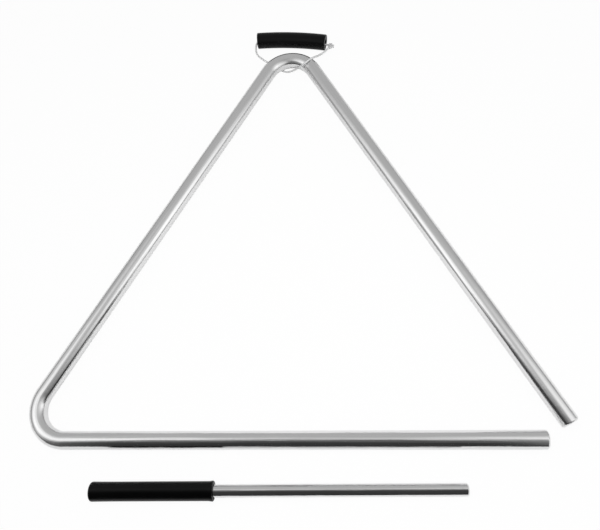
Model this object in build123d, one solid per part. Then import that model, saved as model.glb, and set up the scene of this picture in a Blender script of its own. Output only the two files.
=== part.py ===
from build123d import *
import math
import os

# A triangle with its hanger loop and its beater, laid on a table. Sizes are in millimetres and angles in
# degrees. While it is laid out, X runs along the bottom bar from the lower left corner, Y towards the top
# bend and Z up from the table. At the end everything moves so that the origin is under its middle.

# Triangle bar
bar_diameter = 8.0
side = 250.0  # between the points where the centre lines of the bars meet
bend_angle = 120.0  # what each of the two bends turns the bar by
bend_radius = 14.2  # of the centre line
bottom_reach = 236.0  # from the lower left meeting point to the end of the bottom bar
right_reach = 242.4  # from the top meeting point to the end of the right leg
end_chamfer = 0.8

# Hanger tube, cut from a coil of tubing, so that it keeps some of the coil's bow
tube_diameter = 8.5
tube_bore = 4.0
tube_length = 38.5  # straight from end to end
tube_bow = 1.1  # how far its middle stands out from that straight line
tube_yaw = -5.9
tube_aside = 0.0  # its middle, across from the centre of the top bend
tube_beyond = 28.1  # its middle, out from the centre of the top bend

# Hanger line
line_diameter = 1.0
line_sides = 12
line_clearance = 0.25  # between the line and the bar that lies on it
line_crossing = 12.4  # how far beyond the bend's centre the line passes under the bar
line_start = 3.4  # how far inside the tube's left end the free stretch starts
line_turn = 2.2  # how far inside that end it turns down
line_drop = 0.35  # how far below the middle of the bore it leaves that end
line_exit = 0.95  # how far out of the tube's right end the line keeps straight
line_bend_share = 0.45  # share of the shorter run at a corner of the route that its bend takes up

# Free stretch of the line after it leaves the tube's left end: down to the table, under the bar, up inside
# the bend, over the bar and down to the knot. X and Y are from the centre of the top bend, Z from the table.
line_route = [
    (-20.4, 28.2, 3.0),
    (-20.6, 25.6, 1.6),
    (-19.7, 22.9, 0.7),
    (-17.0, 20.4, 0.5),
    (-12.0, 16.3, 0.52),
    (-5.0, 11.1, 0.5),
    (-0.8, 8.4, 1.3),
    (2.6, 7.9, 4.2),
    (5.6, 7.7, 7.8),
    (8.0, 8.2, 9.8),
    (10.8, 10.4, 10.3),
    (13.0, 13.2, 8.3),
    (15.5, 16.8, 5.1),
    (19.4, 20.8, 3.75),
]
under_run = 6  # the run before the line goes under the bar, where the left stretch ends
over_run = 15  # the run after it has come over the bar, where the right stretch starts

# Knot that ties the two ends of the line outside the tube's right end
knot_aside = 21.7
knot_beyond = 24.2
knot_height = 3.5
knot_diameter = 3.1
knot_length = 2.7
knot_chamfer = 0.4
tail_length = 0.7
tail_spacing = 1.2

# Beater
rod_diameter = 5.3
rod_length = 159.8
rod_chamfer = 0.7
grip_diameter = 8.1
grip_length = 54.2
grip_end_diameter = 8.3  # the closed end comes out a little fuller
grip_end_taper = 12.0
grip_end_rounding = 1.1
grip_end_wall = 1.8
grip_lip_diameter = 8.5
grip_lip_length = 1.6
grip_lip_edge = 0.5
grip_clearance = 0.05  # between the rod and the stretched sleeve
beater_start = 40.2  # where the grip's closed end lies, along the bottom bar
beater_apart = 21.6  # how far that end lies in front of the bottom bar's centre line
beater_yaw = 0.6

bar_radius = bar_diameter / 2
half_corner = (180 - bend_angle) / 2
top_corner = Vector(side, 0, 0).rotate(Axis.Z, 180 - bend_angle)
bend_setback = bend_radius / math.tan(math.radians(half_corner))
bend_centre = top_corner - Vector(0, bend_radius / math.sin(math.radians(half_corner)), 0)

# The bar rests on the table along the bottom bar and on the line under the top bend, so it leans a little.
bar_lean = math.degrees(math.asin((line_diameter + line_clearance) / (bend_centre.Y + line_crossing)))


def on_bar_plane(shape):
    """Put what is drawn flat at the bar's centre line into its leaning place on the table."""
    return Pos(0, 0, bar_radius) * Rot(X=bar_lean) * shape


def make_triangle_bar():
    """One round bar bent twice, with both ends chamfered."""
    right_end = top_corner + Vector(right_reach, 0, 0).rotate(Axis.Z, bend_angle - 180)
    path = FilletPolyline((bottom_reach, 0), (0, 0), top_corner, right_end, radius=bend_radius)
    section = Plane(origin=path @ 0, z_dir=path % 0) * Circle(bar_radius)
    bar = sweep(section, path=path)
    rims = bar.faces().filter_by(GeomType.PLANE).edges()
    return on_bar_plane(chamfer(rims, end_chamfer))


def from_bend(x, y, z):
    """A point given from the table under the centre of the top bend."""
    return Vector(bend_centre.X + x, bend_centre.Y + y, z)


tube_middle = from_bend(tube_aside, tube_beyond, tube_diameter / 2)
tube_along = Vector(1, 0, 0).rotate(Axis.Z, tube_yaw)
tube_left = tube_middle - tube_along * (tube_length / 2)
tube_right = tube_middle + tube_along * (tube_length / 2)


def make_hanger_tube():
    """A ring revolved through the small angle that gives the tube its bow."""
    bow_radius = tube_length**2 / (8 * tube_bow) + tube_bow / 2
    half_bow = math.degrees(math.asin(tube_length / 2 / bow_radius))
    ring = Circle(tube_diameter / 2) - Circle(tube_bore / 2)
    ring = Plane.XZ * Pos(bow_radius, 0) * ring
    tube = revolve(ring, axis=Axis.Z, revolution_arc=2 * half_bow)
    tube = Pos(0, tube_bow - bow_radius, 0) * Rot(Z=90 - half_bow) * tube
    return Location(tube_middle) * Rot(Z=tube_yaw) * tube


knot_middle = from_bend(knot_aside, knot_beyond, knot_height)


def make_line_knot():
    """A short barrel, with the two cut ends of the line standing out of its far side."""
    barrel = Cylinder(knot_diameter / 2, knot_length)
    barrel = chamfer(barrel.edges().filter_by(GeomType.CIRCLE), knot_chamfer)
    tail_reach = knot_length / 2 + tail_length
    tail = Pos(0, 0, tail_reach / 2) * Cylinder(line_diameter / 2, tail_reach)
    tails = [Pos(shift, 0, 0) * tail for shift in (-tail_spacing / 2, tail_spacing / 2)]
    knot = barrel + tails
    return Plane(origin=knot_middle, x_dir=(0, 0, 1), z_dir=tube_along) * knot


def corner_radii(points):
    """Radius of each inner corner of a route, as large as the shorter of its two runs allows."""
    radii = []
    for before, corner, after in zip(points, points[1:], points[2:]):
        run_in = corner - before
        run_out = after - corner
        shorter = min(run_in.length, run_out.length)
        half_turn = math.radians(run_in.get_angle(run_out)) / 2
        radii.append(line_bend_share * shorter / math.tan(half_turn))
    return radii


def line_tube(points, radii):
    """A stretch of the line: a many-sided tube along straight runs joined by tangent arcs."""
    path = FilletPolyline(*points, radius=radii)
    section = Plane(origin=path @ 0, z_dir=path % 0) * RegularPolygon(line_diameter / 2, line_sides)
    tube = sweep(section, path=path)
    share = tube.volume / (section.area * path.length)
    print(f"line stretch {path.length:.2f} long, volume {share:.4f} of section times length")
    return tube


def make_line(knot):
    """The line in four stretches that meet face to face: in the tube, left, round the bar, and right."""
    start = tube_left + tube_along * line_start
    turn = tube_left + tube_along * line_turn
    left_exit = tube_left - Vector(0, 0, line_drop)
    right_exit = tube_right + tube_along * line_exit
    route = [start, turn, left_exit] + [from_bend(*point) for point in line_route] + [knot_middle]
    radii = corner_radii(route)
    print("line radii", [round(radius, 2) for radius in radii])
    under = (route[under_run] + route[under_run + 1]) / 2
    over = (route[over_run] + route[over_run + 1]) / 2
    inner_route = [start, right_exit, knot_middle]
    left_route = route[: under_run + 1] + [under]
    round_route = [under] + route[under_run + 1 : over_run + 1] + [over]
    right_route = [over] + route[over_run + 1 :]
    return {
        "line_in_tube": line_tube(inner_route, corner_radii(inner_route)) - knot,
        "line_left": line_tube(left_route, radii[:under_run]),
        "line_round_bar": line_tube(round_route, radii[under_run:over_run]),
        "line_right": line_tube(right_route, radii[over_run:]) - knot,
    }


# The beater lies on the grip's lip and on the rod's tip, so its axis leans down towards the tip.
beater_tip = grip_end_wall + rod_length - rod_chamfer
lip_place = grip_length - grip_lip_edge
lip_drop = (grip_lip_diameter - rod_diameter) / 2
beater_lean = math.degrees(math.atan(lip_drop / (beater_tip - lip_place)))
grip_end_height = beater_tip * math.sin(math.radians(beater_lean))
grip_end_height += rod_diameter / 2 * math.cos(math.radians(beater_lean))


def lay_beater(shape):
    """Put a piece that is drawn along X from the grip's closed end into its place on the table."""
    return Pos(beater_start, -beater_apart, grip_end_height) * Rot(Z=beater_yaw) * Rot(Y=beater_lean) * shape


def make_beater_rod():
    """A straight round rod with both ends chamfered."""
    middle = grip_end_wall + rod_length / 2
    rod = Pos(middle, 0, 0) * Rot(Y=90) * Cylinder(rod_diameter / 2, rod_length)
    rims = rod.faces().filter_by(GeomType.PLANE).edges()
    return lay_beater(chamfer(rims, rod_chamfer))


def make_beater_grip():
    """A push-on sleeve: closed rounded end, slight taper, and a flared lip round its open mouth."""
    grip_radius = grip_diameter / 2
    lip_radius = grip_lip_diameter / 2
    socket_radius = rod_diameter / 2 + grip_clearance
    outline = Polyline(
        (grip_end_wall, 0),
        (0, 0),
        (0, grip_end_diameter / 2),
        (grip_end_taper, grip_radius),
        (grip_length - grip_lip_length, grip_radius),
        (lip_place, lip_radius),
        (grip_length, lip_radius - grip_lip_edge / 2),
        (grip_length, socket_radius),
        (grip_end_wall, socket_radius),
        close=True,
    )
    grip = revolve(make_face(outline), axis=Axis.X)
    end_rim = grip.faces().sort_by(Axis.X)[0].edges()
    return lay_beater(fillet(end_rim, grip_end_rounding))


knot = make_line_knot()
rigid = {
    "triangle_bar": make_triangle_bar(),
    "hanger_tube": make_hanger_tube(),
    "beater_rod": make_beater_rod(),
    "beater_grip": make_beater_grip(),
}
nodes = {**rigid, **make_line(knot), "line_knot": knot}

# The origin goes under the middle of what isn't line.
box = Compound(list(rigid.values())).bounding_box()
centring = Pos(-box.center().X, -box.center().Y, 0)

places = {
    "top bend centre": on_bar_plane(Pos(*bend_centre)).position,
    "bar at the top bend": on_bar_plane(Pos(*(bend_centre + Vector(0, bend_radius, 0)))).position,
    "bottom bar end": on_bar_plane(Pos(bottom_reach - end_chamfer, 0, 0)).position,
    "tube left end": tube_left,
    "tube right end": tube_right,
    "knot": knot_middle,
}
for name, place in places.items():
    x, y, z = (centring * Pos(*place)).position
    print(f"{name}: {x:.4f} {y:.4f} {z:.4f}")
print(f"bar lean {bar_lean:.5f}, straight bottom bar {bottom_reach - bend_setback - end_chamfer:.4f}")

os.makedirs("parts", exist_ok=True)
for name, shape in nodes.items():
    export_step(centring * shape, f"parts/{name}.step")
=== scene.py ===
import math

import bpy
import numpy as np
from mathutils import Matrix


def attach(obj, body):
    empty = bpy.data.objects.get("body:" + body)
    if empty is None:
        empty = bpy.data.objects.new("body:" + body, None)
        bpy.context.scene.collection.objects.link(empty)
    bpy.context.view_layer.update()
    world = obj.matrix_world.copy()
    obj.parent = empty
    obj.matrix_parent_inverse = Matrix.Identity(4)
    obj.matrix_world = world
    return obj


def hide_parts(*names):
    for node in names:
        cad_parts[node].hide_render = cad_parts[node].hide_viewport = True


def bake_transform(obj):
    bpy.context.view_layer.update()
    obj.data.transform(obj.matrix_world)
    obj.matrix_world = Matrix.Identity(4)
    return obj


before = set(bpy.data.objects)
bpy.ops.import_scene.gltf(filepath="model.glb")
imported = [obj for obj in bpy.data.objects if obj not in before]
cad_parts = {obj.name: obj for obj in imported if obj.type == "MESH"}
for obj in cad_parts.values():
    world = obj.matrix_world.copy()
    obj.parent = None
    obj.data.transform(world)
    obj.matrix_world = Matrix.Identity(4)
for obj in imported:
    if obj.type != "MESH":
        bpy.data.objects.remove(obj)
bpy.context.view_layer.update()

# A triangle with its hanger loop and its beater on a white table. Lengths are in millimetres while a piece is
# laid out: X runs along the bottom bar from the lower left corner, Y towards the top bend and Z up from the
# table. on_table() then gives the row's own metres.
MM = 0.001
UP = np.array([0.0, 0.0, 1.0])
WHITE = (1, 1, 1, 1)
middle = np.array([127.8296, 98.3583, 0.0])  # what the row's origin lies under
round_sides = 72  # points round the bar, the rod, the grip and the tube
line_sides = 20  # points round the line
crease = math.radians(40)  # edges that turn by more stay sharp

# Triangle bar
bar_radius = 4.0
side = 250.0
bend_radius = 14.2
bend_angle = math.radians(120)
bottom_reach = 236.0
right_reach = 242.4
bar_chamfer = 0.8
bar_lean = math.radians(0.35720)
bar_end_clear = 6.0  # how far from an end the even rings start
straight_rings = 30
bend_rings = 60

bend_setback = bend_radius / math.tan(math.radians(30))
bend_centre = np.array([side / 2, side * math.sqrt(3) / 2 - 2 * bend_radius, 0.0])

# Hanger tube
tube_radius = 4.25
tube_bore_radius = 2.0
tube_length = 38.5
tube_bow = 1.1
tube_yaw = math.radians(-5.9)
tube_beyond = 28.1
tube_rounding = 0.35  # of the rim's outer edge
tube_bore_rounding = 0.2
tube_rings = 48
tube_ring_gap = 0.3  # from the rim's rounding to the first even ring
tube_middle = bend_centre + (0.0, tube_beyond, tube_radius)
tube_along = np.array([math.cos(tube_yaw), math.sin(tube_yaw), 0.0])
tube_out = np.array([-tube_along[1], tube_along[0], 0.0])
tube_left = tube_middle - tube_along * tube_length / 2
tube_right = tube_middle + tube_along * tube_length / 2

# Hanger line: through the tube's left end, down to the table, under the bar, up inside the bend, over the bar
# and down to the knot. The route's own points are from the centre of the top bend.
line_radius = 0.5
line_inside = 3.4  # how far inside the tube's left end the free line starts
line_turn = 2.2  # how far inside that end it turns down
line_drop = 0.35  # how far below the middle of the bore it leaves that end
line_exit = 0.95  # how far out of the tube's right end the line in the bore keeps straight
line_end_soft = 0.12  # how far from a cut end the line has its full radius
line_end_share = 0.8  # the cut end's radius, as a share of the line's
knot_middle = bend_centre + (21.7, 24.2, 3.5)
line_start = tube_left + tube_along * line_inside
line_route = np.vstack([
    line_start,
    tube_left + tube_along * line_turn,
    tube_left - line_drop * UP,
    bend_centre + np.array([
        (-20.4, 28.2, 3.0),
        (-20.6, 25.6, 1.6),
        (-19.7, 22.9, 0.7),
        (-17.0, 20.4, 0.5),
        (-12.0, 16.3, 0.52),
        (-5.0, 11.1, 0.5),
        (-1.8, 9.8, 1.0),
        (2.2, 9.2, 3.6),
        (5.6, 7.9, 7.7),
        (8.0, 8.2, 9.8),
        (10.8, 10.4, 10.3),
        (13.0, 13.2, 8.3),
        (15.5, 16.8, 5.1),
        (19.4, 20.8, 3.75),
    ]),
    knot_middle,
])
bore_route = np.vstack([line_start, tube_right + tube_along * line_exit, knot_middle])

# Knot: along the tube, up and across from its middle
knot_coil_radius = 1.08
knot_coil_half = 0.85
knot_coil_points = 23
knot_coil_step = math.radians(36)
knot_end_aside = 0.6  # how far from the knot's axis the two cut ends lie
knot_end_run = 2.05

# Beater
rod_radius = 2.65
rod_length = 159.8
rod_chamfer = 0.7
rod_end_clear = 4.0
rod_rings = 50
grip_radius = 4.05
grip_length = 54.2
grip_end_radius = 4.15
grip_end_taper = 12.0
grip_end_rounding = 1.1
grip_end_wall = 1.8
grip_lip_radius = 4.25
grip_lip_length = 2.1
grip_lip_swell = 1.5  # the run over which the lip comes out
grip_lip_roll = 0.45
grip_clearance = 0.05  # between the rod and the sleeve
grip_rings = 120
beater_place = np.array([40.2, -21.6, 5.051])
beater_yaw = math.radians(0.6)
beater_lean = math.radians(0.8551)


def on_table(points):
    """Layout millimetres to the row's metres: less the middle of the set, times a thousandth."""
    return (np.asarray(points) - middle) * MM


def unit(vectors):
    """Each vector over its own length."""
    return vectors / np.linalg.norm(vectors, axis=-1, keepdims=True)


# Camera

def set_camera():
    """The photograph's camera: its back direction from elevation and azimuth, then its right and up rolled."""
    elevation, azimuth, roll = np.radians([68.211, 14.0, 14.592])
    aim = np.array([2.50, -15.128, 0.0]) * MM
    distance = 0.30225
    flat = math.cos(elevation)
    back = np.array([math.sin(azimuth) * flat, -math.cos(azimuth) * flat, math.sin(elevation)])
    right = unit(np.cross(-back, UP))
    up = np.cross(back, right)
    pose = np.eye(4)
    pose[:3, 0] = math.cos(roll) * right - math.sin(roll) * up
    pose[:3, 1] = math.sin(roll) * right + math.cos(roll) * up
    pose[:3, 2] = back
    pose[:3, 3] = aim + back * distance
    lens = bpy.data.cameras.new("photo_camera")
    lens.sensor_width = 36.0
    lens.lens = 37.013
    lens.clip_start = 0.01
    camera = bpy.data.objects.new("photo_camera", lens)
    camera.matrix_world = Matrix(pose.tolist())
    bpy.context.scene.collection.objects.link(camera)
    bpy.context.scene.camera = camera


# Surfaces

def rings(centres, across, up, radii, sides):
    """A circle carried along a path: centre plus radius times (cosine times across plus sine times up)."""
    turn = np.linspace(0, 2 * np.pi, sides, endpoint=False)
    wave = np.cos(turn)[None, :, None] * across[:, None] + np.sin(turn)[None, :, None] * up[:, None]
    return centres[:, None] + radii[:, None, None] * wave


def straightened(run, radii, sides):
    """The same rings on a straight upright path: radius times cosine, radius times sine, and the run as height."""
    turn = np.linspace(0, 2 * np.pi, sides, endpoint=False)
    flat = np.stack([np.cos(turn), np.sin(turn), np.zeros(sides)], -1)
    return radii[:, None, None] * flat + run[:, None, None] * UP


def skin(grid, capped):
    """Quads between neighbouring points of the grid, which closes round its columns. Capped ends get a middle
    point, the mean of the end ring, and a fan of triangles; otherwise the last ring joins the first one."""
    rows, columns = grid.shape[:2]
    points = grid.reshape(-1, 3)
    column = np.arange(columns)
    after = (column + 1) % columns
    row = np.arange(rows - 1 if capped else rows)[:, None] * columns
    next_row = (row + columns) % (rows * columns)
    quads = np.stack([row + column, row + after, next_row + after, next_row + column], -1).reshape(-1, 4)
    faces = quads.tolist()
    if capped:
        last = (rows - 1) * columns
        first_middle, last_middle = len(points), len(points) + 1
        points = np.vstack([points, grid[0].mean(0), grid[-1].mean(0)])
        faces += np.stack([after, column, np.full(columns, first_middle)], -1).tolist()
        faces += np.stack([last + column, last + after, np.full(columns, last_middle)], -1).tolist()
    a, b, c = (points[quads[:, k]] for k in (0, 1, 2))
    if (np.cross(a, b) * c).sum() < 0:
        faces = [face[::-1] for face in faces]
    return points, faces


def piece(name, material, grid, flat, capped):
    """One mesh object from a grid of points in row metres, with its straightened grid kept as an attribute."""
    points, faces = skin(grid, capped)
    drawn = skin(flat, capped)[0]
    mesh = bpy.data.meshes.new(name)
    mesh.from_pydata(points.tolist(), [], faces)
    mesh.polygons.foreach_set("use_smooth", np.ones(len(faces), bool))
    mesh.set_sharp_from_angle(angle=crease)
    kept = mesh.attributes.new("straightened", "FLOAT_VECTOR", "POINT")
    kept.data.foreach_set("vector", drawn.astype(np.float32).ravel())
    mesh.materials.append(material)
    made = bpy.data.objects.new(name, mesh)
    bpy.context.scene.collection.objects.link(made)
    return made


def chamfered_end(radius, chamfer):
    """Run and radius from the end face to the side: the two distances from the chamfer's inner corner, each over
    the chamfer and to the power 1.25, add up to one, so a flat chamfer with soft edges. A close ring holds each
    side of it."""
    power, hold = 1.6, 0.15
    turn = np.linspace(0, np.pi / 2, 9)
    run = chamfer * (1 - np.cos(turn) ** power)
    out = radius - chamfer * (1 - np.sin(turn) ** power)
    return np.r_[0, run, chamfer + hold], np.r_[out[0] - hold, out, radius]


# Triangle bar

def make_triangle_bar(material):
    """A circle carried along the bent centre line. The heading is even on the straights and turns evenly in the
    bends; each step goes along its middle heading, by its run times sin(half its turn) over half its turn."""
    bend_run = bend_radius * bend_angle
    runs = np.array([
        bottom_reach - bend_setback,
        bend_run,
        side - 2 * bend_setback,
        bend_run,
        right_reach - bend_setback,
    ])
    stops = np.r_[0, np.cumsum(runs)]
    stop_headings = [180, 180, 60, 60, -60, -60]
    end_run, end_out = chamfered_end(bar_radius, bar_chamfer)
    run = np.r_[
        end_run,
        np.linspace(bar_end_clear, stops[1], straight_rings),
        np.linspace(stops[1], stops[2], bend_rings)[1:],
        np.linspace(stops[2], stops[3], straight_rings)[1:],
        np.linspace(stops[3], stops[4], bend_rings)[1:],
        np.linspace(stops[4], stops[5] - bar_end_clear, straight_rings)[1:],
        stops[5] - end_run[::-1],
    ]
    radii = np.r_[end_out, np.full(len(run) - 2 * len(end_out), bar_radius), end_out[::-1]]
    heading = np.radians(np.interp(run, stops, stop_headings))
    half_turn = np.diff(heading) / 2
    step = np.diff(run) * np.sinc(half_turn / np.pi)
    along = heading[:-1] + half_turn
    flat = np.zeros((len(run), 3))
    flat[:, 0] = bottom_reach + np.r_[0, np.cumsum(step * np.cos(along))]
    flat[:, 1] = np.r_[0, np.cumsum(step * np.sin(along))]
    across = np.stack([-np.sin(heading), np.cos(heading), np.zeros(len(run))], -1)
    lean = np.array([
        [1, 0, 0],
        [0, math.cos(bar_lean), -math.sin(bar_lean)],
        [0, math.sin(bar_lean), math.cos(bar_lean)],
    ])
    up = np.broadcast_to(lean @ UP, flat.shape)
    centres = flat @ lean.T + bar_radius * UP
    grid = rings(centres, across @ lean.T, up, radii, round_sides)
    made = piece("bent_bar", material, on_table(grid), straightened(run, radii, round_sides) * MM, capped=True)
    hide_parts("triangle_bar")
    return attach(made, "triangle")


# Beater

def turned(run, radii):
    """A profile turned round the beater's axis and laid on the table: leaned down to the tip, then yawed. It gives
    the grid, its straightened grid and that its ends are capped."""
    c, s = math.cos(beater_lean), math.sin(beater_lean)
    lean = np.array([[c, 0, s], [0, 1, 0], [-s, 0, c]])
    c, s = math.cos(beater_yaw), math.sin(beater_yaw)
    yaw = np.array([[c, -s, 0], [s, c, 0], [0, 0, 1]])
    centres = np.stack([run, 0 * run, 0 * run], -1)
    across = np.broadcast_to((0.0, 1.0, 0.0), centres.shape)
    up = np.broadcast_to(UP, centres.shape)
    grid = rings(centres, across, up, radii, round_sides) @ (yaw @ lean).T + beater_place
    return on_table(grid), straightened(run, radii, round_sides) * MM, True


def make_beater_rod(material):
    """Straight rod: the chamfered end's profile, even rings, and the same profile the other way round."""
    end_run, end_out = chamfered_end(rod_radius, rod_chamfer)
    even_run = np.linspace(rod_end_clear, rod_length - rod_end_clear, rod_rings)
    run = np.r_[end_run, even_run, rod_length - end_run[::-1]] + grip_end_wall
    radii = np.r_[end_out, np.full(rod_rings, rod_radius), end_out[::-1]]
    made = piece("striking_rod", material, *turned(run, radii))
    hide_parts("beater_rod")
    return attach(made, "beater")


def make_beater_grip(material):
    """Sleeve profile from the closed end's middle to the socket's end: a quarter circle, a taper by the power 1.5
    of the way left in it, a lip that swells by a smoothstep of the run and rolls in by a quarter circle, and the
    socket's wall back inside."""
    end_ring, socket_ring, socket_halfway = 0.6, 0.4, 20.0
    turn = np.linspace(0, np.pi / 2, 12)
    end_run = grip_end_rounding * (1 - np.cos(turn))
    end_out = grip_end_radius - grip_end_rounding * (1 - np.sin(turn))
    body_run = np.linspace(grip_end_rounding + 0.3, grip_length - grip_lip_roll, grip_rings)
    taper = np.clip((grip_end_taper - body_run) / grip_end_taper, 0, 1)
    swell = np.clip((body_run - (grip_length - grip_lip_length)) / grip_lip_swell, 0, 1)
    body_out = grip_radius + (grip_end_radius - grip_radius) * taper**1.5
    body_out = body_out + (grip_lip_radius - grip_radius) * swell**2 * (3 - 2 * swell)
    roll = np.linspace(0, np.pi / 2, 10)[1:]
    roll_run = grip_length - grip_lip_roll * (1 - np.sin(roll))
    roll_out = grip_lip_radius - grip_lip_roll * (1 - np.cos(roll))
    socket = rod_radius + grip_clearance
    mouth_run = grip_length - np.array([0.0, 0.25, 0.6])
    mouth_out = socket + np.array([0.25, 0.05, 0.0])
    run = np.r_[0, end_run, body_run, roll_run, mouth_run, socket_halfway, grip_end_wall, grip_end_wall]
    radii = np.r_[end_ring, end_out, body_out, roll_out, mouth_out, socket, socket, socket_ring]
    made = piece("beater_sleeve", material, *turned(run, radii))
    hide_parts("beater_grip")
    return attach(made, "beater")


# Hanger

def make_hanger_tube(material):
    """A tube wall carried along a shallow arc: out along the outer radius, round the cut rim by quarter circles,
    back along the bore and round the other rim, with centres at the arc's radius times sine and cosine."""
    bow_radius = tube_length**2 / (8 * tube_bow) + tube_bow / 2
    half_bow = math.asin(tube_length / 2 / bow_radius)
    reach = bow_radius * half_bow
    even_reach = reach - tube_rounding - tube_ring_gap
    turn = np.linspace(0, np.pi / 2, 8)
    outer = np.linspace(-even_reach, even_reach, tube_rings)
    right_run = np.r_[
        reach - tube_rounding * (1 - np.sin(turn)),
        reach - tube_bore_rounding * (1 - np.cos(turn)),
    ]
    right_out = np.r_[
        tube_radius - tube_rounding * (1 - np.cos(turn)),
        tube_bore_radius + tube_bore_rounding * (1 - np.sin(turn)),
    ]
    run = np.r_[outer, right_run, outer[::-1], -right_run[::-1]]
    radii = np.r_[
        np.full(tube_rings, tube_radius),
        right_out,
        np.full(tube_rings, tube_bore_radius),
        right_out[::-1],
    ]
    angle = run / bow_radius
    out = np.sin(angle)[:, None] * tube_along + np.cos(angle)[:, None] * tube_out
    centres = tube_middle + tube_out * (tube_bow - bow_radius) + bow_radius * out
    up = np.broadcast_to(UP, centres.shape)
    grid = rings(centres, out, up, radii, round_sides)
    made = piece("finger_tube", material, on_table(grid), straightened(run, radii, round_sides) * MM, capped=False)
    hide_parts("hanger_tube")
    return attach(made, "tube")


def spline_points(route):
    """Points along a smooth spline that has the route's points as its control points."""
    curve = bpy.data.curves.new("route", "CURVE")
    curve.dimensions = "3D"
    curve.resolution_u = 16
    spline = curve.splines.new("NURBS")
    spline.points.add(len(route) - 1)
    spline.points.foreach_set("co", np.c_[route, np.ones(len(route))].ravel())
    spline.use_endpoint_u = True
    spline.order_u = 3
    holder = bpy.data.objects.new("route", curve)
    mesh = bpy.data.meshes.new_from_object(holder)
    found = np.empty(3 * len(mesh.vertices))
    mesh.vertices.foreach_get("co", found)
    bpy.data.objects.remove(holder)
    bpy.data.curves.remove(curve)
    bpy.data.meshes.remove(mesh)
    return found.reshape(-1, 3)


def strand(points, outward):
    """A round strand along points: its first cross direction is outward less its part along the strand, its second
    one is square to both, and the end rings are drawn in a little so that the cut ends have soft edges. It gives
    the grid, its straightened grid and that its ends are capped."""
    along = unit(np.gradient(points, axis=0))
    across = unit(outward - (outward * along).sum(-1, keepdims=True) * along)
    run = np.r_[0, np.cumsum(np.linalg.norm(np.diff(points, axis=0), axis=-1))]
    to_end = np.minimum(run, run[-1] - run)
    radii = line_radius * MM * np.clip(to_end / (line_end_soft * MM), line_end_share, 1)
    grid = rings(points, across, np.cross(along, across), radii, line_sides)
    return grid, straightened(run, radii, line_sides), True


def make_hanger_line(material):
    """The free line as a strand along its spline, from inside the tube's left end round the bar to the knot."""
    points = spline_points(on_table(line_route))
    upward = np.broadcast_to(UP, points.shape)
    return piece("hanger_line", material, *strand(points, upward)), points


def make_bore_line(material):
    """The line inside the tube, as a strand along its spline to the knot."""
    points = spline_points(on_table(bore_route))
    upward = np.broadcast_to(UP, points.shape)
    made = piece("hanger_line_in_bore", material, *strand(points, upward))
    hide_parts("line_in_tube")
    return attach(made, "handle")


def make_knot(material):
    """The knot's strand: in along the axis from one cut end, then a helix of just over two turns back round itself,
    and out again as the other cut end. Its cross direction points away from the knot's axis."""
    turn = np.pi / 2 + knot_coil_step * np.arange(knot_coil_points)
    coil_run = np.linspace(-knot_coil_half, knot_coil_half, knot_coil_points)
    aside = knot_end_aside
    run = np.r_[knot_end_run, 1.4, 0.4, -0.6, coil_run, 1.45, knot_end_run]
    high = np.r_[aside, aside, aside, 0.65, knot_coil_radius * np.sin(turn), -aside, -aside]
    wide = np.r_[0, 0, 0, 0.1, knot_coil_radius * np.cos(turn), 0, 0]
    local = run[:, None] * tube_along + high[:, None] * UP + wide[:, None] * tube_out
    points = spline_points(on_table(knot_middle + local))
    away = points - on_table(knot_middle)
    outward = away - (away @ tube_along)[:, None] * tube_along
    made = piece("line_end_knot", material, *strand(points, outward))
    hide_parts("line_knot")
    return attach(made, "handle")


def join_hanger(line, knot):
    """The free line stands for its three stretches, bends between the loop and the tube, and ends in the knot. The
    knot argument is not used.
    """
    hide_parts("line_left", "line_round_bar", "line_right")
    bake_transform(line)


# Finishes

class Wire:
    """A socket of a finish. Sums on it add Math nodes, and node() adds any other node."""

    def __init__(self, tree, socket=None):
        self.tree = tree
        self.socket = socket

    def node(self, kind, settings=None, inputs=None):
        """Adds a node. Its inputs are wires or plain values, and its first output is the new wire."""
        made = self.tree.nodes.new("ShaderNode" + kind)
        for key, value in (settings or {}).items():
            setattr(made, key, value)
        for key, value in (inputs or {}).items():
            found = [s for s in made.inputs if s.enabled and key in (s.name, s.identifier)]
            target = made.inputs[key] if isinstance(key, int) else found[0]
            if isinstance(value, Wire):
                self.tree.links.new(value.socket, target)
            else:
                target.default_value = value
        return Wire(self.tree, next((s for s in made.outputs if s.enabled), None))

    def out(self, name):
        """Another output of the same node."""
        return Wire(self.tree, self.socket.node.outputs[name])

    def math(self, operation, first, second):
        return self.node("Math", {"operation": operation}, {0: first, 1: second})

    def smooth(self, start, end, first, last):
        """A level that goes from first, where this wire is at start, to last at end, by a smoothstep."""
        return self.node(
            "MapRange", {"interpolation_type": "SMOOTHSTEP"},
            {"Value": self, "From Min": start, "From Max": end, "To Min": first, "To Max": last},
        )

    def between(self, first, last):
        """The colour that lies this wire's share of the way from the first one to the last one."""
        return self.node("Mix", {"data_type": "RGBA"}, {"Factor": self, "A": (*first, 1), "B": (*last, 1)})

    def __add__(self, other):
        return self.math("ADD", self, other)

    def __sub__(self, other):
        return self.math("SUBTRACT", self, other)

    def __mul__(self, other):
        return self.math("MULTIPLY", self, other)

    def __radd__(self, other):
        return self.math("ADD", other, self)

    def __rsub__(self, other):
        return self.math("SUBTRACT", other, self)

    def __rmul__(self, other):
        return self.math("MULTIPLY", other, self)


def finish_named(name):
    """An empty finish, and the wire that its nodes start from."""
    made = bpy.data.materials.new(name)
    made.use_nodes = True
    made.node_tree.nodes.clear()
    return made, Wire(made.node_tree)


def straightened_place(wire):
    """Where a point of the piece lies on the straightened piece, in metres."""
    return wire.node("Attribute", {"attribute_name": "straightened"}).out("Vector")


def stretched_noise(wire, place, stretch, detail=3.0):
    """Noise with so many grains to the metre across, across and along the straightened piece."""
    scaled = wire.node("VectorMath", {"operation": "MULTIPLY"}, {0: place, 1: stretch})
    return wire.node("TexNoise", {}, {"Vector": scaled, "Scale": 1.0, "Detail": detail})


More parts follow.
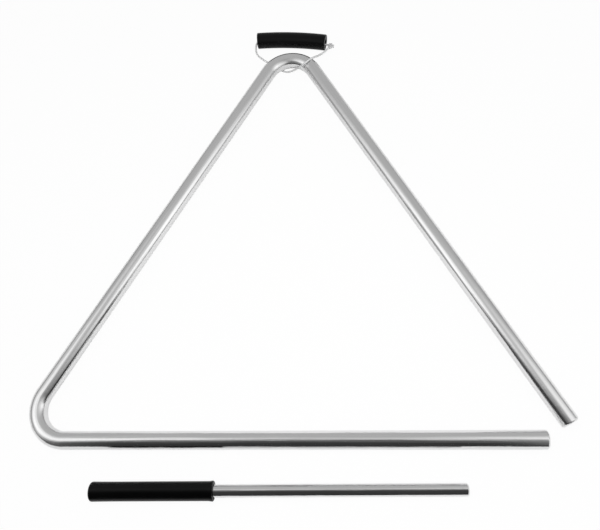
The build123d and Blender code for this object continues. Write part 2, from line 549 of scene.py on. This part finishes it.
def bright_steel():
    """Polished steel: fine drawing marks along the bar, cloudy handling haze and a few small pits."""
    made, wire = finish_named("bright_steel")
    place = straightened_place(wire)
    drawn = stretched_noise(wire, place, (2200, 2200, 26), 4.0)
    streaks = stretched_noise(wire, place, (800, 800, 22), 2.0)
    haze = stretched_noise(wire, place, (120, 120, 50))
    mottle = stretched_noise(wire, place, (700, 700, 420), 2.0)
    pits = wire.node("TexVoronoi", {}, {"Vector": place, "Scale": 420.0})
    pit = pits.smooth(0.03, 0.09, 1.0, 0.0)
    tone = 0.4 * drawn + 0.3 * streaks + 0.3 * haze
    height = 1.5 * drawn + 4.0 * streaks + 1.2 * mottle - 0.6 * pit
    bump = wire.node("Bump", {}, {"Strength": 0.8, "Distance": 0.00003, "Height": height})
    shader = wire.node("BsdfPrincipled", {}, {
        "Base Color": tone.between((0.72, 0.72, 0.725), (0.95, 0.95, 0.948)),
        "Metallic": 1.0,
        "Roughness": 0.04 + 0.1 * drawn + 0.1 * haze + 0.1 * pit,
        "Normal": bump,
    })
    wire.node("OutputMaterial", {}, {"Surface": shader})
    return made


def black_vinyl():
    """Dipped black vinyl: soft gloss over a fine orange peel, with dull patches where fingers held it."""
    made, wire = finish_named("black_vinyl")
    place = straightened_place(wire)
    peel = stretched_noise(wire, place, (900, 900, 700), 2.0)
    handled = stretched_noise(wire, place, (160, 160, 90), 4.0)
    bump = wire.node("Bump", {}, {"Strength": 0.3, "Distance": 0.00006, "Height": peel})
    shader = wire.node("BsdfPrincipled", {}, {
        "Base Color": handled.between((0.0004, 0.0004, 0.00045), (0.0014, 0.0014, 0.0015)),
        "Roughness": 0.26 + 0.16 * handled,
        "Specular IOR Level": 0.2,
        "Normal": bump,
    })
    wire.node("OutputMaterial", {}, {"Surface": shader})
    return made


def clear_nylon():
    """Clear drawn nylon: light goes through it, with faint lengthwise drawing lines and a milky change of tone."""
    made, wire = finish_named("clear_nylon")
    place = straightened_place(wire)
    drawn = stretched_noise(wire, place, (3000, 3000, 120))
    milky = stretched_noise(wire, place, (400, 400, 260))
    bump = wire.node("Bump", {}, {"Strength": 0.3, "Distance": 0.00003, "Height": drawn})
    shader = wire.node("BsdfPrincipled", {}, {
        "Base Color": milky.between((0.84, 0.845, 0.85), (0.94, 0.94, 0.94)),
        "Roughness": 0.14 + 0.14 * drawn,
        "IOR": 1.53,
        "Transmission Weight": 0.15,
        "Subsurface Weight": 0.8,
        "Subsurface Radius": (1.0, 1.0, 1.0),
        "Subsurface Scale": 0.0012,
        "Normal": bump,
    })
    wire.node("OutputMaterial", {}, {"Surface": shader})
    return made


def seen_share(wire, direct, in_metal):
    """How much of the plain white a ray sees: one share looking directly or through nylon, another in metal."""
    path = wire.node("LightPath")
    seen = direct * path.out("Is Camera Ray") + in_metal * path.out("Is Glossy Ray")
    return wire.math("MINIMUM", seen + direct * path.out("Is Transmission Ray"), 1.0)


def white_paper():
    """White table paper: seen directly or through nylon it is nearly all plain white, with a share of the light
    that falls on it, so that the pieces keep their shadows. Metal shows mostly that light."""
    made, wire = finish_named("white_paper")
    seen = seen_share(wire, direct=0.95, in_metal=0.1)
    place = wire.node("TexCoord").out("Object")
    fibres = wire.node("TexNoise", {}, {"Vector": place, "Scale": 900.0, "Detail": 2.0})
    lit = wire.node("BsdfDiffuse", {}, {"Color": fibres.between((0.93, 0.93, 0.93), (0.96, 0.96, 0.96))})
    plain = wire.node("Emission", {}, {"Color": WHITE, "Strength": 1.0})
    shader = wire.node("MixShader", {}, {0: seen, 1: lit, 2: plain})
    wire.node("OutputMaterial", {}, {"Surface": shader})
    return made


# Studio

def sheet(name, corners, material):
    """A flat sheet with four corners."""
    mesh = bpy.data.meshes.new(name)
    mesh.from_pydata(corners, [], [(0, 1, 2, 3)])
    mesh.materials.append(material)
    made = bpy.data.objects.new(name, mesh)
    bpy.context.scene.collection.objects.link(made)
    return made


def make_floor(material):
    """A flat square of paper on the table."""
    reach = 3.0
    corners = [(-reach, -reach, 0), (reach, -reach, 0), (reach, reach, 0), (-reach, reach, 0)]
    made = sheet("white_floor", corners, material)


def make_room():
    """The room: an even pale grey, dim in front of the table up to overhead and low down at both sides. Seen
    directly or through nylon it is plain white, so that the table has no far edge. Metal shows a little of that."""
    level, front_dim, side_dim = 0.447, 0.242, 0.147
    front_way = (-0.085, -0.970, -0.229)
    world = bpy.data.worlds.new("studio_room")
    world.use_nodes = True
    world.node_tree.nodes.clear()
    bpy.context.scene.world = world
    wire = Wire(world.node_tree)
    view = wire.node("TexCoord").out("Generated")
    front = wire.node("VectorMath", {"operation": "DOT_PRODUCT"}, {0: view, 1: front_way}).out("Value")
    spot = wire.node("SeparateXYZ", {}, {"Vector": view})
    aside, high = spot.out("X"), spot.out("Z")
    dim = (front - aside * aside).smooth(-0.5, 0.02, 0.0, front_dim)
    sides = (aside * aside).smooth(0.1, 0.6, 0.0, side_dim)
    low = high.smooth(0.08, 0.5, 1.0, 0.0)
    seen = seen_share(wire, direct=1.0, in_metal=0.05)
    strength = seen + (1.0 - seen) * (level - dim - sides * low)
    shader = wire.node("Background", {}, {"Color": WHITE, "Strength": strength})
    wire.node("OutputWorld", {}, {"Surface": shader})


def make_painted_reflection_card():
    """Painted dark reflection: a nearly black, faintly glowing sheet with soft edges that leans over the front of
    the table. Only gloss on the pieces shows it, so it darkens their reflections and casts no shadow.
    """
    left, right, foot, top = -0.2, 0.22, 0.001, 0.172
    painted_reflection_level = 0.036
    fades = (("Z", 0.035, 0.150), ("X", -0.085, -0.200), ("X", 0.091, 0.219))
    made, wire = finish_named("painted_dark_reflection")
    spot = wire.node("SeparateXYZ", {}, {"Vector": wire.node("TexCoord").out("Object")})
    painted_reflection_cover = 1.0
    for axis, full, clear in fades:
        painted_reflection_cover = painted_reflection_cover * spot.out(axis).smooth(full, clear, 1.0, 0.0)
    # the sheet's faint glow sets how dark the painted reflection is
    black = wire.node("Emission", {}, {"Color": WHITE, "Strength": painted_reflection_level})
    shader = wire.node("MixShader", {}, {0: painted_reflection_cover, 1: wire.node("BsdfTransparent"), 2: black})
    wire.node("OutputMaterial", {}, {"Surface": shader})
    dark_reflection_sheet = sheet("painted_dark_reflection", [(left, 0, foot), (right, 0, foot), (right, 0, top), (left, 0, top)], made)
    dark_reflection_sheet.location = (0.0, -0.15, 0.0)
    dark_reflection_sheet.rotation_euler = (-0.5, 0.0, 0.0)
    # seen only in gloss: a painted dark reflection on the steel and vinyl, with no shadow and no blocked light
    dark_reflection_sheet.visible_camera = dark_reflection_sheet.visible_diffuse = dark_reflection_sheet.visible_shadow = dark_reflection_sheet.visible_transmission = False


def softbox(name, place, facing, upright, size, fade, level):
    """A soft panel at a place, with its second edge along upright. Its level fades smoothly over the given share of
    each half of its size, and its power is the level times its area times pi."""
    lamp = bpy.data.lights.new(name, "AREA")
    lamp.shape = "RECTANGLE"
    lamp.size, lamp.size_y = size
    lamp.energy = level * size[0] * size[1] * math.pi
    lamp.use_nodes = True
    lamp.node_tree.nodes.clear()
    wire = Wire(lamp.node_tree)
    spot = wire.node("SeparateXYZ", {}, {"Vector": wire.node("NewGeometry").out("Parametric")})
    strength = 1.0
    for axis, share in zip("XY", fade):
        off = wire.math("ABSOLUTE", 2.0 * spot.out(axis) - 1.0, 0.0)
        strength = strength * off.smooth(1.0 - share, 1.0, 1.0, 0.0)
    shader = wire.node("Emission", {}, {"Color": WHITE, "Strength": strength})
    wire.node("OutputLight", {}, {"Surface": shader})
    back = -unit(np.array(facing))
    right = unit(np.cross(upright, back))
    pose = np.eye(4)
    pose[:3, :3] = np.stack([right, np.cross(back, right), back], -1)
    pose[:3, 3] = place
    made = bpy.data.objects.new(name, lamp)
    made.matrix_world = Matrix(pose.tolist())
    made.visible_camera = False
    bpy.context.scene.collection.objects.link(made)
    return made


set_camera()
nylon = clear_nylon()
line, line_points = make_hanger_line(nylon)
join_hanger(line, make_knot(nylon))
make_bore_line(nylon)
steel = bright_steel()
vinyl = black_vinyl()
make_hanger_tube(vinyl)
make_triangle_bar(steel)
make_beater_rod(steel)
make_beater_grip(vinyl)
make_floor(white_paper())
make_room()
make_painted_reflection_card()
softbox(
    "left_softbox", place=(-0.428, -0.14, 0.476), facing=(0.294, 0.0, -0.956), upright=(0.0, 0.0, 1.0),
    size=(0.889, 1.157), fade=(1.0, 0.94), level=0.78,
)
softbox(
    "right_softbox", place=(0.367, -0.358, 0.259), facing=(-0.493, 0.0, -0.870), upright=(0.0, 0.0, 1.0),
    size=(1.139, 1.091), fade=(0.595, 1.0), level=0.77,
)
overhead = softbox(
    "overhead_fill", place=(0.0, -0.05, 0.28), facing=(0.0, 0.0, -1.0), upright=(0.0, 1.0, 0.0),
    size=(0.15, 0.15), fade=(0.2, 0.2), level=5.5,
)
overhead.visible_glossy = False
bpy.context.scene.view_settings.view_transform = "Standard"
